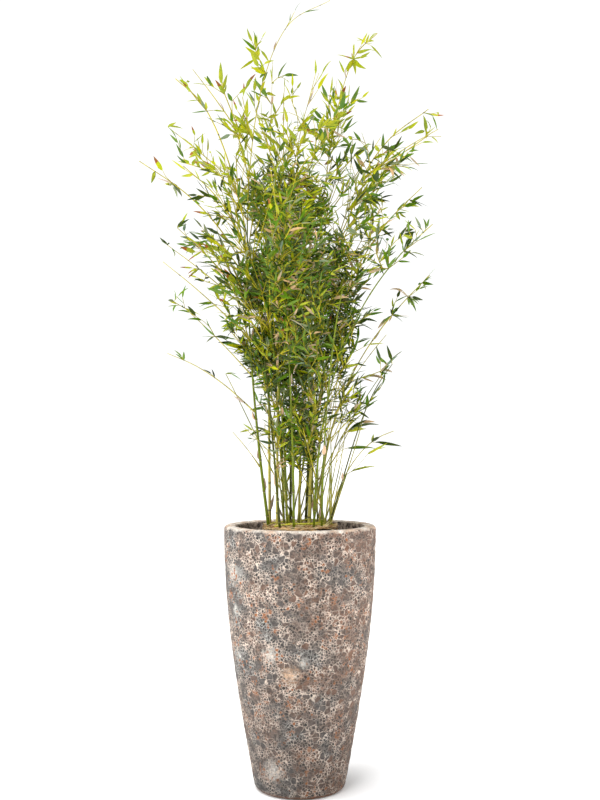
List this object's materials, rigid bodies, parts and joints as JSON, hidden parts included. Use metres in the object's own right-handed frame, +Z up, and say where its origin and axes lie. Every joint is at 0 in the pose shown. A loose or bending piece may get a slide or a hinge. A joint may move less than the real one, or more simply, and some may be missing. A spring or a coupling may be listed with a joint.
{
  "type": "potted clump bamboo",
  "caption": "Clump bamboo with slender arching culms and narrow leaves, on its root ball in a tall tapered crater-glazed pot.",
  "frame": {"origin": "centre of the pot's flat underside, where it stands on the floor", "axes": "+Z up through the pot and the clump; -Y is the front of the plant, +X its right"},
  "size_m": [0.826, 0.6415, 2.0505],
  "materials": {
    "pot_glaze": "matte",
    "root_mulch": "matte",
    "clay_granules": "matte",
    "culm": "satin",
    "bough": "satin",
    "leaf": "satin"
  },
  "bodies": {
    "root": {"pot": "pot_glaze", "granule_fill": "clay_granules", "root_ball": "root_mulch", "culm_tall_left": "culm", "culm_left_straight": "culm", "culm_middle": "culm", "culm_plume_left": "culm", "culm_far_left": "culm", "culm_left_front": "culm", "culm_back_left": "culm", "culm_front_left": "culm", "culm_back": "culm", "culm_tall_right": "culm", "culm_far_right": "culm", "culm_right": "culm", "culm_right_front": "culm", "culm_right_low": "culm", "culm_right_skirt": "culm", "culm_right_foot": "culm", "culm_front_right": "culm", "culm_back_low": "culm", "bough_plume_left": "bough", "bough_upper_left": "bough", "bough_mid_left": "bough", "bough_mid_left_front": "bough", "bough_low_left": "bough", "bough_lower_left": "bough", "bough_skirt_left": "bough", "bough_foot_left": "bough", "bough_foot_middle": "bough", "bough_far_right": "bough", "bough_skirt_right": "bough", "leaves_top_tip": "leaf", "leaves_top_left": "leaf", "leaves_top_middle": "leaf", "leaves_top_right_tip": "leaf", "leaves_top_right": "leaf", "leaves_plume_left": "leaf", "leaves_upper_left": "leaf", "leaves_far_left": "leaf", "leaves_front_left": "leaf", "leaves_mid_left": "leaf", "leaves_mid_left_front": "leaf", "leaves_lower_left": "leaf", "leaves_skirt_left": "leaf", "leaves_foot_left": "leaf", "leaves_far_right": "leaf", "leaves_shoulder_right": "leaf", "leaves_mid_right": "leaf", "leaves_mid_right_front": "leaf", "leaves_low_right": "leaf", "leaves_skirt_right": "leaf", "leaves_foot_right": "leaf", "leaves_core_top": "leaf", "leaves_core_upper": "leaf", "leaves_core_lower": "leaf", "leaves_core_foot": "leaf", "leaves_core_right": "leaf", "leaves_front": "leaf", "leaves_back": "leaf"}
  },
  "joints": []
}
